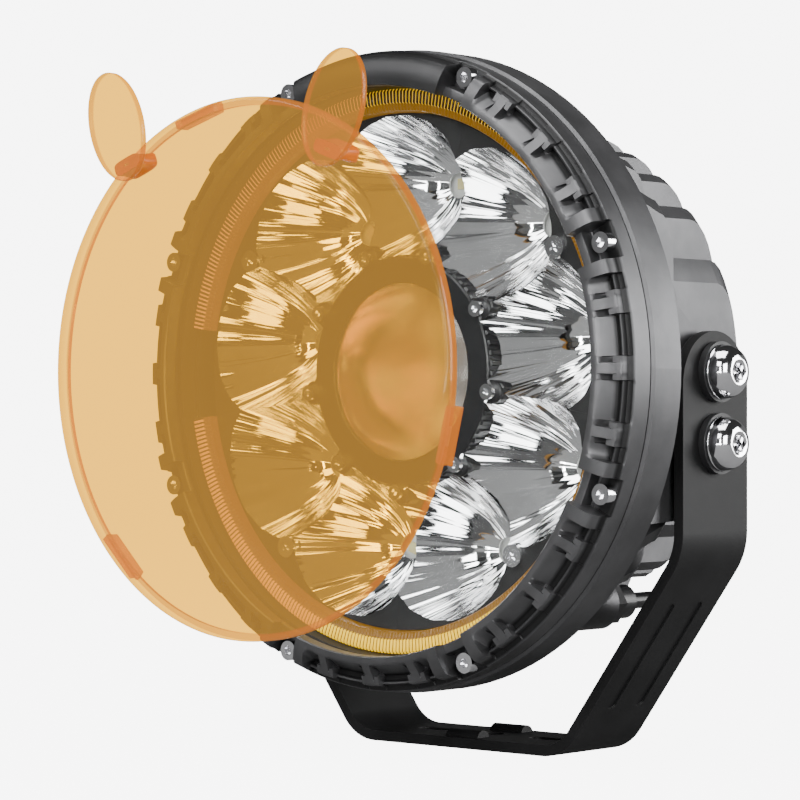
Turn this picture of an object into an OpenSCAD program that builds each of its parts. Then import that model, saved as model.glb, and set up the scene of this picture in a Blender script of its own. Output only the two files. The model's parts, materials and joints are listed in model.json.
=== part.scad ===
// Round fog and driving light on a steel U bracket, with a clip-on amber cover.
// Z is up and the lamp faces -Y. The origin is the centre of the base bolt hole,
// on the underside of the bracket. Depths are counted backwards from the bezel screw heads.

/* [Lamp] */
// Outer diameter of the bezel
bezel_d = 222; // [218:1:223]
// Diameter of the housing barrel behind the bezel
barrel_d = 224; // [223:1:226]
// Diameter of the window inside the bezel rim
window_d = 197; // [195:1:198]
// Depth from the bezel screw heads to the back of the fins
lamp_depth = 100; // [98:1:104]
// Number of bezel screws
bezel_screw_count = 8; // [6:2:12]
// Diameter of the projector lens
projector_d = 65; // [60:1:65]
// Sideways pitch of the cooling fins
fin_pitch = 12; // [11:0.5:13]
// Thickness of one cooling fin
fin_t = 3.4; // [2.5:0.1:4]

/* [Bracket] */
// Width of the bracket strip
strip_w = 37.5; // [34:0.5:40]
// Thickness of the bracket strip
strip_t = 3.8; // [3:0.1:4]
// Width over the outside of the two arms
arms_w = 200; // [199:0.5:202]
// Width over the flat base, corner to corner
base_w = 97.2; // [90:0.2:104]
// Height of the lower bend's corner
bend_h = 71.5; // [66:0.5:76]
// Height of the pivot bolts
pivot_h = 133.6; // [132:0.1:135]
// Spacing from the pivot bolt down to the lock bolt
bolt_gap = 24.4; // [23:0.1:25]
// Tilt allowed each way by the lock bolt's slot
tilt_angle = 9; // [4:1:9]

/* [Cover] */
// Diameter of the amber cover
cover_d = 180; // [176:1:181]
// Distance of the cover's face ahead of the bezel screw heads
cover_gap = 66; // [60:1:70]
// Thickness of the cover's face and rim
cover_t = 2.6; // [2:0.1:3]
// Width of a finger tab
ear_w = 24; // [20:1:28]
// Height of a finger tab
ear_h = 38.6; // [32:0.2:42]

/* [Hidden] */

axis_h = 134.1;                     // height of the lamp's axis
front_y = -62.7;                    // the bezel screw heads, ahead of the pivot
window_r = window_d / 2;
bezel_r = bezel_d / 2;
barrel_r = barrel_d / 2;
projector_r = projector_d / 2;

// Depths of the lamp's stack, from the front
rim_front = -5;                     // bezel rim, proud of the screw heads
lens_front = 0.8;
lens_t = 3.2;
pocket_floor = 4;                   // screw head seats
bezel_back = 11.5;
guide_front = 7.5;
deck_front = 12.6;                  // reflector's front deck
deck_t = 1.4;
guide_back = 20;
guide_board_front = 22.6;
shoulder = 24;                      // housing step that carries the light guide's board
barrel_back = 28.5;
floor_front = 50;
floor_back = 58;
pocket_back = 88;                   // driver compartment's mouth
cup_back = 46.5;
board_front = 48;
board_back = 49.6;

lens_r = 100.8;
cavity_r = 98.8;                    // housing bore round the light guides
well_r = 87;                        // housing bore round the cups
core_r = 90.5;                      // wall behind the barrel
low_fin_r = 101;                    // fins level with the arms
high_fin_r = 91;                    // fins behind the floor
fin_reach = 86;                     // half width of the fin block
fin_round = 16;                     // rounding at the rear edge of the fins
pocket_r = 41;
pocket_bore = 31;

screw_circle = 107;
hub_screw_circle = 42.1;
deck_screw_circle = 81.8;
deck_screws = [60, 140, 220, 300];
cup_count = 9;
cup_circle = 67.5;
deck_r = 90.7;
cup_r = 21.8;
cup_wall = 1.1;
hub_inner = projector_r - 1.5;
hub_outer = 40.2;
hub_front = 13.6;
hub_back = 21;
hub_ear_r = 4.2;
hub_flange = 4;                     // flange of the projector barrel behind the ring
rear_screw_circle = 36;

arm_face = arms_w / 2;              // outer face of an arm
boss_face = arm_face - strip_t - 0.3;
bolt_r = 4;
head_r = 9;
washer_r = 10.4;
washer_t = 2.4;
lock_h = pivot_h - bolt_gap;
gland_x = 52;
gland_drop = 81;

// A clock angle: 0 is up, turning to the right as seen from the front
module lamp() {
    translate([0, front_y, axis_h]) rotate([-90, 0, 0]) children();
}

module clock(angle, r) {
    rotate([0, 0, angle]) translate([0, -r, 0]) children();
}

module clocks(count, r, start = 0) {
    for (i = [0:count - 1]) clock(start + i * 360 / count, r) children();
}

module disc(r, from, to) {
    translate([0, 0, from]) cylinder(h = to - from, r = r, $fn = 128);
}

module tube(r, bore, from, to) {
    difference() {
        disc(r, from, to);
        disc(bore, from - 1, to + 1);
    }
}

// A screw whose head sits from top to seat and whose shank ends at tip
module screw(head, top, seat, shank, tip, socket) {
    difference() {
        union() {
            disc(head, top, seat);
            disc(shank, seat, tip);
        }
        translate([0, 0, top - 1]) cylinder(h = (seat - top) * 0.6 + 1, r = socket, $fn = 6);
    }
}

// An arc of a ring between two clock angles
module ring_arc(inner, outer, from, to, start, sweep) {
    translate([0, 0, from]) rotate([0, 0, start - 90])
        rotate_extrude(angle = sweep, $fn = 160) translate([inner, 0]) square([outer - inner, to - from]);
}

function arc_points(cx, cy, r, a0, a1, steps) =
    [for (i = [0:steps]) let (a = a0 + (a1 - a0) * i / steps) [cx + r * cos(a), cy + r * sin(a)]];

/* ---- bracket ---- */

slope = atan2(bend_h, arm_face - base_w / 2);
low_bend_r = 18;
high_bend_r = 24;
low_bend_cx = base_w / 2 - low_bend_r * tan(slope / 2);
high_bend_cz = bend_h + high_bend_r * tan((90 - slope) / 2);
high_bend_cx = arm_face - high_bend_r;
slope_mid = [(arm_face + base_w / 2) / 2, bend_h / 2];
arm_round_h = pivot_h - 4.8;        // centre of an arm's round top

base_hole_r = 5.25;
base_slot_r = 3.25;
base_slot_len = 14;
base_slot_gap = 52;
bead_len = 46;
bead_w = 4;
bead_depth = 0.7;

// Half of the strip, seen from the front: flat base, low bend, slope, high bend, arm
module half_strip() {
    polygon(concat(
        [[0, 0]],
        arc_points(low_bend_cx, low_bend_r, low_bend_r, -90, slope - 90, 12),
        arc_points(high_bend_cx, high_bend_cz, high_bend_r, slope - 90, 0, 8),
        [[arm_face, arm_round_h], [arm_face - strip_t, arm_round_h]],
        arc_points(high_bend_cx, high_bend_cz, high_bend_r - strip_t, 0, slope - 90, 8),
        arc_points(low_bend_cx, low_bend_r, low_bend_r - strip_t, slope - 90, -90, 12),
        [[0, strip_t]]));
}

// A long pressed groove in the sloping part of an arm
module bead(side) {
    translate([slope_mid[0], side, slope_mid[1]]) rotate([0, 90 - slope, 0])
        rotate([0, 90, 0]) linear_extrude(height = 2 * bead_depth, center = true) {
            square([bead_len - bead_w, bead_w], center = true);
            for (e = [-1, 1]) translate([e * (bead_len - bead_w) / 2, 0]) circle(d = bead_w, $fn = 48);
        }
}

module along_x(x0, x1, r) {
    translate([x0, 0, 0]) rotate([0, 90, 0]) cylinder(h = x1 - x0, r = r, $fn = 96);
}

// The lock bolt's slot, curved about the pivot
module lock_slot() {
    slot_r = bolt_r + 0.35;
    translate([0, 0, pivot_h]) {
        for (a = [-tilt_angle, tilt_angle]) rotate([a, 0, 0]) translate([0, 0, -bolt_gap])
            along_x(arm_face - strip_t - 1, arm_face + 1, slot_r);
        translate([arm_face - strip_t - 1, 0, 0]) rotate([0, 90, 0]) rotate([0, 0, -tilt_angle])
            rotate_extrude(angle = 2 * tilt_angle, $fn = 160)
                translate([bolt_gap - slot_r, 0]) square([2 * slot_r, strip_t + 2]);
    }
}

module base_slot() {
    for (e = [-1, 1]) translate([e * (base_slot_len / 2 - base_slot_r), 0, -1])
        cylinder(h = strip_t + 2, r = base_slot_r, $fn = 48);
    translate([0, 0, strip_t / 2])
        cube([base_slot_len - 2 * base_slot_r, 2 * base_slot_r, strip_t + 2], center = true);
}

module bracket() color("#2b2b2d") {
    lug_len = 15;
    lug_w = 7;
    difference() {
        union() {
            for (m = [0, 1]) mirror([m, 0, 0]) {
                rotate([90, 0, 0]) translate([0, 0, -strip_w / 2]) linear_extrude(height = strip_w) half_strip();
                translate([0, 0, arm_round_h]) along_x(arm_face - strip_t, arm_face, strip_w / 2);
            }
            // raised lugs that stop the lamp turning on its base bolt
            for (e = [-1, 1]) translate([0, e * 12.4, strip_t - 1])
                rotate([0, 90, 0]) cylinder(h = lug_len, r = lug_w / 2, $fn = 64, center = true);
        }
        translate([0, 0, -1]) cylinder(h = strip_t + 2, r = base_hole_r, $fn = 96);
        translate([0, 0, -lug_w]) cube([arms_w, strip_w + 1, 2 * lug_w], center = true);
        for (m = [0, 1]) mirror([m, 0, 0]) {
            translate([base_slot_gap / 2, 0, 0]) base_slot();
            translate([0, 0, pivot_h]) along_x(arm_face - strip_t - 1, arm_face + 1, bolt_r + 0.1);
            lock_slot();
            for (side = [-8, 8]) bead(side);
        }
    }
}

/* ---- housing ---- */

module fin_block(reach, r_profile) {
    intersection() {
        rotate_extrude($fn = 160) polygon(r_profile);
        for (i = [-8:8]) if (abs(i * fin_pitch) + fin_t / 2 <= reach)
            translate([i * fin_pitch - fin_t / 2, -2 * high_fin_r, 0]) cube([fin_t, 4 * high_fin_r, lamp_depth]);
    }
}

// The side boss that takes the pivot and lock bolts, seen along X
module side_boss() {
    fork = [
        [barrel_back - 2, 32], [46, 25], [60, 14], [78, 10],
        [80, -40], [70, -50], [barrel_back - 2, -52]
    ];
    translate([76, front_y, axis_h]) rotate([90, 0, 90]) linear_extrude(height = boss_face - 2.4 - 76)
        polygon(fork);
    for (z = [pivot_h, lock_h]) translate([0, 0, z]) along_x(80, boss_face, 13);
    translate([80, -13, lock_h]) cube([boss_face - 80, 26, bolt_gap]);
}

module bolt_holes() {
    for (z = [pivot_h, lock_h]) translate([0, 0, z]) along_x(88, arm_face, bolt_r + 0.05);
}

module housing_shell() {
    difference() {
        union() {
            rotate_extrude($fn = 160) polygon([
                [0, shoulder], [barrel_r - 8, bezel_back], [barrel_r - 1, bezel_back],
                [barrel_r, bezel_back + 1], [barrel_r, barrel_back - 2],
                [barrel_r - 2, barrel_back], [core_r, barrel_back + 3],
                [core_r, floor_back], [0, floor_back]
            ]);
            fin_block(94, concat(
                [[0, barrel_back], [low_fin_r + 4, barrel_back]],
                arc_points(low_fin_r - 8, floor_back - 8, 8, 0, 90, 6), [[0, floor_back]]));
            fin_block(fin_reach, concat(
                [[0, floor_back - 2], [high_fin_r, floor_back - 2]],
                arc_points(high_fin_r - fin_round, lamp_depth - fin_round, fin_round, 0, 90, 8),
                [[0, lamp_depth]]));
            disc(pocket_r, floor_back - 1, pocket_back);
            translate([gland_x, gland_drop, 0]) disc(9, barrel_back, floor_back + 2);
        }
        disc(cavity_r, bezel_back - 1, shoulder);
        disc(well_r, shoulder - 1, floor_front);
        disc(pocket_bore, floor_back + 4, pocket_back + 1);
        disc(pocket_r + 1.5, pocket_back, lamp_depth + 1);
        clocks(bezel_screw_count, screw_circle, 180 / bezel_screw_count) disc(2.05, bezel_back - 1, 20);
        clocks(4, rear_screw_circle, 45) disc(1.8, pocket_back - 10, pocket_back + 1);
        clocks(3, 80, 0) disc(1.55, floor_front - 1, floor_front + 5);
        translate([20, 0, 0]) disc(3.5, floor_front - 1, floor_back + 5);
        translate([gland_x, gland_drop, 0]) {
            disc(4.05, barrel_back + 12, floor_back + 3);
            disc(9.6, floor_back + 2, lamp_depth + 1);
        }
        // wire channel from the gland into the housing
        translate([0, 0, floor_front - 6]) rotate([0, 0, atan2(gland_drop, gland_x)]) along_x(80, 94, 1.8);
    }
    // posts that carry the reflector
    for (a = deck_screws) clock(a, deck_screw_circle) tube(4.2, 1.3, deck_front + deck_t, floor_front + 0.5);
}

module housing() color("#3a3a3c") {
    difference() {
        union() {
            lamp() housing_shell();
            for (m = [0, 1]) mirror([m, 0, 0]) difference() {
                side_boss();
                lamp() disc(well_r, 0, floor_front);
                lamp() disc(pocket_r + 1.5, pocket_back, lamp_depth + 1);
            }
        }
        for (m = [0, 1]) mirror([m, 0, 0]) bolt_holes();
    }
}

/* ---- bezel and front glass ---- */

rib_half_angles = [-11.5, 0, 11.5];

module bezel_profile() {
    polygon([
        [window_r, rim_front + 0.6], [window_r + 0.6, rim_front], [100.2, rim_front],
        [100.8, rim_front + 0.6], [101.8, -1.4], [103.2, 0.4], [106.6, 1.2], [107.6, 0.4],
        [108.6, 0.4], [109.2, 1.6], [bezel_r - 0.8, 2.4], [bezel_r, 3.2],
        [bezel_r, bezel_back], [lens_r + 0.4, bezel_back],
        [lens_r + 0.4, lens_front], [window_r, lens_front]
    ]);
}

// A cross rib of the bezel, sloping back from the rim to the outer edge
module bezel_rib(half_w) {
    rotate([90, 0, -90]) linear_extrude(height = 2 * half_w, center = true) polygon([
        [99.4, rim_front - 0.3], [100.8, rim_front - 0.3], [103.6, -3.4], [107.8, -0.6],
        [109.6, 0], [109.6, 3], [102, 3], [102, 0.3], [99.4, 0.3]
    ]);
}

// The plain section at the top
module bezel_plate(half_angle) {
    rotate([0, 0, -half_angle - 90]) rotate_extrude(angle = 2 * half_angle, $fn = 160) polygon([
        [99.6, -3.4], [108.8, -3.4], [108.8, 4], [102, 4], [102, 0.3], [99.6, 0.3]
    ]);
}

module bezel() color("#343436") lamp() difference() {
    union() {
        rotate_extrude($fn = 200) bezel_profile();
        for (s = [0:bezel_screw_count - 1]) rotate([0, 0, s * 360 / bezel_screw_count]) {
            if (s != 0) for (a = rib_half_angles) rotate([0, 0, a]) bezel_rib(2.1);
            for (a = [-16, 16]) rotate([0, 0, a]) bezel_rib(1.6);
        }
        bezel_plate(16);
    }
    clocks(bezel_screw_count, screw_circle, 180 / bezel_screw_count) {
        disc(5.2, rim_front - 1, pocket_floor);
        translate([-5.2, -8, rim_front - 1]) cube([10.4, 8, pocket_floor - rim_front + 1]);
        disc(2.2, 0, bezel_back + 1);
    }
}

module bezel_screws() color("#d8d8da") lamp()
    clocks(bezel_screw_count, screw_circle, 180 / bezel_screw_count)
        screw(3.5, 0, pocket_floor, 2, 18, 1.7);

module outer_lens() color("#e8f0f4", 0.3) lamp() disc(lens_r, lens_front, lens_front + lens_t);

module lens_seal() color("#202020") lamp() tube(lens_r, cavity_r + 0.2, lens_front + lens_t, bezel_back);

/* ---- reflector ---- */

// Radius of a cup at a depth, a parabola from its mouth to its back opening
function cup_radius(t) = cup_r * sqrt(1 - t * 0.9);

module cup(extra, front, back) {
    rotate_extrude($fn = 96) polygon(concat(
        [[0, front], [cup_r + extra, front]],
        [for (i = [0:10]) [cup_radius(i / 10) + extra, deck_front + 0.7 + (cup_back - deck_front) * i / 10]],
        [[cup_radius(1) + extra, back], [0, back]]));
}

module reflector() color("#c9ccd0") lamp() difference() {
    union() {
        tube(deck_r, hub_outer, deck_front, deck_front + deck_t);
        clocks(cup_count, cup_circle) cup(cup_wall, deck_front + 0.3, cup_back + 0.8);
    }
    clocks(cup_count, cup_circle) cup(0, deck_front - 1, cup_back + 2);
    disc(hub_outer + 0.4, 0, cup_back + 1);
    clocks(cup_count, hub_screw_circle, 180 / cup_count) disc(hub_ear_r + 0.4, 0, hub_back);
    for (a = deck_screws) clock(a, deck_screw_circle) disc(1.7, 0, deck_front + deck_t + 1);
}

module reflector_screws() color("#d8d8da") lamp() for (a = deck_screws) clock(a, deck_screw_circle)
    difference() {
        union() {
            disc(3.9, deck_front - 1.5, deck_front);
            disc(1.25, deck_front, 28);
        }
        for (turn = [0, 90]) rotate([0, 0, turn]) translate([0, 0, deck_front - 1.3])
            cube([4, 0.8, 1.4], center = true);
    }

/* ---- projector in the middle ---- */

module hub_ring() color("#1c1c1e") lamp() difference() {
    union() {
        disc(hub_outer, hub_front, hub_back);
        clocks(cup_count, hub_screw_circle, 180 / cup_count) disc(hub_ear_r, hub_front, hub_back - 1);
        clocks(36, hub_outer, 5) translate([-1, -1.2, hub_front + 1]) cube([2, 2, 5]);
    }
    disc(hub_inner, hub_front - 1, hub_back + 1);
    disc(projector_r + 0.3, hub_front + 1.4, hub_back + 1);
    clocks(cup_count, hub_screw_circle, 180 / cup_count) disc(1.6, hub_front - 1, hub_back + 1);
}

module hub_screws() color("#8a8a8e") lamp()
    clocks(cup_count, hub_screw_circle, 180 / cup_count) screw(2.75, 10.8, hub_front, 1.5, hub_back + hub_flange, 1.3);

dome_rise = 9.4;
dome_r = (hub_inner * hub_inner + dome_rise * dome_rise) / (2 * dome_rise);

module projector_lens() color("#dfe8ee", 0.4) lamp() {
    disc(projector_r, hub_front + 1.4, hub_back);
    intersection() {
        translate([0, 0, hub_front + 1.5 - dome_rise + dome_r]) sphere(r = dome_r, $fn = 128);
        disc(hub_inner - 0.1, 0, hub_back - 1);
    }
}

module projector_barrel() color("#2a2a2c") lamp() difference() {
    union() {
        disc(projector_r + 3, hub_back, board_front);
        disc(hub_screw_circle + 3, hub_back, hub_back + hub_flange);
    }
    disc(projector_r, hub_back - 2, board_front + 1);
    clocks(cup_count, hub_screw_circle, 180 / cup_count) disc(1.55, hub_back - 2, hub_back + hub_flange + 1);
}

module projector_reflector() color("#d0d3d6") lamp() rotate_extrude($fn = 120) {
    steps = 10;
    deep = board_front - 1 - hub_back - 2;
    polygon(concat(
        [for (i = [0:steps]) [(projector_r - 2) * sqrt(1 - 0.93 * i / steps), hub_back + 2 + deep * i / steps]],
        [for (i = [steps:-1:0])
            [(projector_r - 2) * sqrt(1 - 0.93 * i / steps) + 1.2, hub_back + 2 + deep * i / steps]]));
}

/* ---- light guides ---- */

module light_guide(middle) {
    half = 80;
    inner = 91;
    outer = cavity_r - 0.4;
    ring_arc(inner, outer, guide_front, guide_back, middle - half, 2 * half);
}

module light_guide_upper() color("#f5b733") lamp() light_guide(0);

module light_guide_lower() color("#f5b733") lamp() light_guide(180);

module guide_board() color("#1f5a34") lamp() tube(cavity_r - 0.4, 88.4, guide_board_front, shoulder);

module guide_leds() color("#ffe9a0") lamp()
    for (middle = [0, 180], a = [-76:8:76]) clock(middle + a, 94.4)
        translate([-1.4, -1.4, guide_back + 1.4]) cube([2.8, 2.8, guide_board_front - guide_back - 1.4]);

/* ---- circuit boards ---- */

module led_board() color("#e6e8e6") lamp() difference() {
    disc(well_r - 1, board_front, board_back);
    for (a = deck_screws) clock(a, deck_screw_circle) disc(4.6, board_front - 1, board_back + 1);
    clocks(3, 80, 0) disc(1.8, board_front - 1, board_back + 1);
}

module led_chips() color("#f4e27a") lamp()
    clocks(cup_count, cup_circle) translate([-1.9, -1.9, board_front - 0.8]) cube([3.8, 3.8, 0.8]);

module centre_led() color("#f4e27a") lamp() {
    translate([-5, -5, board_front - 0.6]) cube([10, 10, 0.6]);
    disc(3.6, board_front - 1, board_front - 0.6);
}

module board_screws() color("#d8d8da") lamp() clocks(3, 80, 0)
    screw(2.6, board_front - 2, board_front, 1.5, floor_front + 4, 1.1);

module thermal_pad() color("#9aa0a8") lamp() difference() {
    disc(well_r - 2, board_back, floor_front);
    for (a = deck_screws) clock(a, deck_screw_circle) disc(4.8, board_back - 1, floor_front + 1);
    clocks(3, 80, 0) disc(2, board_back - 1, floor_front + 1);
    translate([20, 0, 0]) disc(3.6, board_back - 1, floor_front + 1);
}

driver_front = 70;

module driver_board() color("#1f5a34") lamp() {
    disc(pocket_bore - 1, driver_front, driver_front + 1.6);
    clocks(4, 24, 45) tube(2.6, 1.2, floor_back + 4, driver_front);
}

module driver_parts() color("#26262a") lamp() {
    for (x = [-14, -2]) translate([x, -12, 0]) disc(5, driver_front + 1.6, driver_front + 13);
    translate([-20, 4, driver_front + 1.6]) cube([16, 14, 9]);
    translate([4, 2, driver_front + 1.6]) cube([12, 12, 2]);
    translate([10, -18, driver_front + 1.6]) cube([9, 10, 7]);
}

module lead_wires() color("#a01818") lamp()
    for (y = [-1.5, 1.5]) translate([20, y, 0]) disc(1.1, board_back, driver_front);

/* ---- back of the lamp ---- */

rear_cover_t = 3.5;

module rear_cover() color("#303032") lamp() difference() {
    union() {
        disc(pocket_r, pocket_back, pocket_back + rear_cover_t);
        disc(11, pocket_back, pocket_back + rear_cover_t + 1.5);
    }
    tube(34, 31.8, pocket_back - 1, pocket_back + 0.8);
    clocks(4, rear_screw_circle, 45) disc(2.1, pocket_back - 1, pocket_back + rear_cover_t + 1);
    disc(4.1, pocket_back - 1, pocket_back + 8);
}

module rear_seal() color("#202020") lamp() tube(33.9, 31.9, pocket_back, pocket_back + 0.8);

// These screws point forwards, so their heads are at the back
module rear_screws() color("#8a8a8e") lamp() clocks(4, rear_screw_circle, 45)
    translate([0, 0, pocket_back + rear_cover_t]) mirror([0, 0, 1]) screw(3.3, -2.6, 0, 1.75, 11, 1.6);

module breather() color("#1a1a1c") lamp() {
    disc(4, pocket_back - 3, pocket_back + 5);
    translate([0, 0, pocket_back + 5]) cylinder(h = 3, r = 8, $fn = 6);
    disc(5.5, pocket_back + 8, pocket_back + 9.6);
}

gland_end = 99;
gland_bore_r = 2;

module cable_gland() color("#1a1a1c") lamp() translate([gland_x, gland_drop, 0]) difference() {
    union() {
        disc(4, barrel_back + 14, floor_back + 2);
        translate([0, 0, floor_back + 2]) cylinder(h = 6, r = 8, $fn = 6);
        disc(6, floor_back + 8, floor_back + 16);
        rotate_extrude($fn = 96) polygon(concat([[0, floor_back + 14]],
            [[2.9, floor_back + 14]], arc_points(1.9, gland_end - 1, 1, 0, 90, 5), [[0, gland_end]]));
    }
    disc(gland_bore_r, barrel_back + 13, gland_end + 1);
}

/* ---- side bolts ---- */

module side_bolt(h) {
    head_x = arm_face + 0.2 + washer_t;
    head_h = 7.4;
    translate([0, 0, h]) {
        along_x(89, head_x + 0.1, bolt_r);
        difference() {
            translate([head_x, 0, 0]) rotate([0, 90, 0]) rotate_extrude($fn = 96) polygon(concat(
                [[0, 0], [head_r, 0], [head_r, 1.4]],
                [for (i = [0:8]) [3.9 + (head_r - 0.9 - 3.9) * cos(90 * i / 8), 1.6 + (head_h - 1.6) * sin(90 * i / 8)]],
                [[0, head_h]]));
            translate([head_x + head_h - 4, 0, 0]) rotate([0, 90, 0]) cylinder(h = 6, r = 3.2, $fn = 6);
        }
    }
}

module pivot_bolt_left() color("#cfd1d4") mirror([1, 0, 0]) side_bolt(pivot_h);

module pivot_bolt_right() color("#cfd1d4") side_bolt(pivot_h);

module lock_bolt_left() color("#cfd1d4") mirror([1, 0, 0]) side_bolt(lock_h);

module lock_bolt_right() color("#cfd1d4") side_bolt(lock_h);

module arm_washers() color("#1a1a1c") for (m = [0, 1], h = [pivot_h, lock_h]) mirror([m, 0, 0])
    translate([0, 0, h]) difference() {
        along_x(arm_face + 0.2, arm_face + 0.2 + washer_t, washer_r);
        along_x(arm_face - 1, arm_face + 4, bolt_r + 0.05);
    }

/* ---- amber cover ---- */

clip_angles = [104, 224, 344];
clip_sweep = 12;
ear_t = 3;
ear_lead = 10;                      // how far a finger tab stands ahead of the face
ear_tilt = 20;
ear_x = 50;
ear_rise = 82.5;
stem_r = 4.5;

function oval(w, h, steps) = [for (i = [0:steps - 1]) [w / 2 * cos(i * 360 / steps), h / 2 * sin(i * 360 / steps)]];

module ear() {
    translate([ear_x, -ear_rise, -cover_gap - ear_lead]) rotate([0, 0, ear_tilt])
        linear_extrude(height = ear_t) polygon(oval(ear_w, ear_h, 64));
    translate([ear_x - 3.4, 14 - ear_rise, -cover_gap - ear_lead + 1]) cylinder(h = ear_lead + 1, r = stem_r, $fn = 48);
}

module amber_cover() color("#f0a848", 0.6) lamp() {
    face = -cover_gap;
    cover_r = cover_d / 2;
    rotate_extrude($fn = 200) polygon(concat(
        [[0, face]], arc_points(cover_r - 1.6, face + 1.6, 1.6, -90, 0, 5),
        [[cover_r, face + 5], [cover_r - cover_t, face + 5], [cover_r - cover_t, face + cover_t],
        [0, face + cover_t]]));
    for (a = clip_angles) {
        ring_arc(cover_r - cover_t + 0.4, cover_r + 0.4, face + 3, face + 8, a - clip_sweep / 2, clip_sweep);
        ring_arc(cover_r - 0.6, cover_r + 1.4, face + 6.2, face + 7.6, a - clip_sweep / 2 + 1, clip_sweep - 2);
    }
    for (m = [0, 1]) mirror([m, 0, 0]) ear();
}

bracket();
housing();
bezel();
bezel_screws();
outer_lens();
lens_seal();
reflector();
reflector_screws();
hub_ring();
hub_screws();
projector_lens();
projector_barrel();
projector_reflector();
light_guide_upper();
light_guide_lower();
guide_board();
guide_leds();
led_board();
led_chips();
centre_led();
board_screws();
thermal_pad();
driver_board();
driver_parts();
lead_wires();
rear_cover();
rear_seal();
rear_screws();
breather();
cable_gland();
pivot_bolt_left();
pivot_bolt_right();
lock_bolt_left();
lock_bolt_right();
arm_washers();
amber_cover();
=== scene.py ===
import bmesh
import bpy
import numpy as np
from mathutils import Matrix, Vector
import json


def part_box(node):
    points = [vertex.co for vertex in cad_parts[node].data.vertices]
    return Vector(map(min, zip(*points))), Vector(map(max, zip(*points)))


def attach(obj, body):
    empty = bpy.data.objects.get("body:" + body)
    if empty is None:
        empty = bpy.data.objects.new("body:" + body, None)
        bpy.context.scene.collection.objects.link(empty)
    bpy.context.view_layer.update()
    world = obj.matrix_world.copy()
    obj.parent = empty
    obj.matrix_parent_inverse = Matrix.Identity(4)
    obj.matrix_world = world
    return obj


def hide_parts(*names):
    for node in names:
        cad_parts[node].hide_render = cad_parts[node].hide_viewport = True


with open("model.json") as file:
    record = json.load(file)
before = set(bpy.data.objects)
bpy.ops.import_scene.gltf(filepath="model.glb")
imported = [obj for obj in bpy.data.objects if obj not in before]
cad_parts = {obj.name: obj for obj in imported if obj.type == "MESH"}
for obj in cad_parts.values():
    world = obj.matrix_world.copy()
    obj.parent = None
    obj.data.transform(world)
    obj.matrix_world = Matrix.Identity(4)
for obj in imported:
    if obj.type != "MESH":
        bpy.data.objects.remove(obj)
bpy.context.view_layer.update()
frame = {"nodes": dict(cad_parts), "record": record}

print("frame loaded", len(frame["nodes"]), "nodes")

mm = 0.001
bezelLow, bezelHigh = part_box("bezel")
axisHeight = (bezelLow.z + bezelHigh.z) / 2 / mm
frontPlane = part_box("outer_lens")[0].y / mm - 0.8   # plane of the bezel screw heads


def lampPoints(radius, clock, depth):
    # x = r sin c, z = axis + r cos c, y = front plane + depth; millimetres and degrees in, metres out
    radius, clock, depth = np.broadcast_arrays(radius, np.radians(clock), depth)
    return mm * np.stack([radius * np.sin(clock), frontPlane + depth,
                          axisHeight + radius * np.cos(clock)], -1)


def blend(first, second, share):
    # first (1 - share) + second share
    return first + (second - first) * share


def window(angle, centre, half, bevel):
    # 1 inside centre +- half, falling to 0 over the bevel outside it
    return np.clip((half + bevel - np.abs(angle - centre)) / bevel, 0, 1)


def between(edges, step):
    # the edges themselves, with even steps between them, none longer than the step given
    edges = np.unique(np.round(edges, 5))
    parts = [np.linspace(a, b, int(np.ceil((b - a) / step)) + 1)[:-1] for a, b in zip(edges, edges[1:])]
    return np.concatenate(parts + [edges[-1:]])


def gridFaces(rows, columns, wrapRows, wrapColumns, start):
    # face (i, j) joins points (i, j), (i, j+1), (i+1, j+1) and (i+1, j)
    i, j = np.meshgrid(np.arange(rows if wrapRows else rows - 1),
                       np.arange(columns if wrapColumns else columns - 1), indexing="ij")
    nextI, nextJ = (i + 1) % rows, (j + 1) % columns
    corners = [i * columns + j, i * columns + nextJ, nextI * columns + nextJ, nextI * columns + j]
    return start + np.stack(corners, -1).reshape(-1, 4)


def makePiece(name, sheets, look, body, stands, sharp=32, marks=None):
    # sheets: (points[rows, columns, 3], wrap rows, wrap columns); all of them go into one mesh
    points, faces, total = [], [], 0
    for grid, wrapRows, wrapColumns in sheets:
        rows, columns = grid.shape[:2]
        faces.append(gridFaces(rows, columns, wrapRows, wrapColumns, total))
        points.append(grid.reshape(-1, 3))
        total += rows * columns
    points, faces = np.concatenate(points), np.concatenate(faces)
    mesh = bpy.data.meshes.new(name)
    mesh.vertices.add(total)
    mesh.vertices.foreach_set("co", points.astype(np.float32).ravel())
    mesh.loops.add(faces.size)
    mesh.loops.foreach_set("vertex_index", faces.astype(np.int32).ravel())
    mesh.polygons.add(len(faces))
    mesh.polygons.foreach_set("loop_start", np.arange(0, faces.size, 4, dtype=np.int32))
    mesh.update(calc_edges=True)
    if marks is not None:
        marked = mesh.attributes.new("mark", "FLOAT", "POINT")
        marked.data.foreach_set("value", marks.astype(np.float32).ravel())
    tidyMesh(mesh, sharp)
    piece = bpy.data.objects.new(name, mesh)
    bpy.context.scene.collection.objects.link(piece)
    mesh.materials.append(look)
    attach(piece, body)
    if stands:
        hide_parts(*stands)
    return piece


def tidyMesh(mesh, sharp):
    # joins seams and poles, turns the faces outwards and marks the sharp edges
    work = bmesh.new()
    work.from_mesh(mesh)
    bmesh.ops.remove_doubles(work, verts=work.verts, dist=2e-6)
    bmesh.ops.dissolve_degenerate(work, edges=work.edges, dist=1e-6)
    bmesh.ops.recalc_face_normals(work, faces=work.faces)
    for face in work.faces:
        face.smooth = True
    limit = np.radians(sharp)
    for edge in work.edges:
        edge.smooth = len(edge.link_faces) == 2 and edge.calc_face_angle(0) < limit
    work.to_mesh(mesh)
    work.free()


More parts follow.
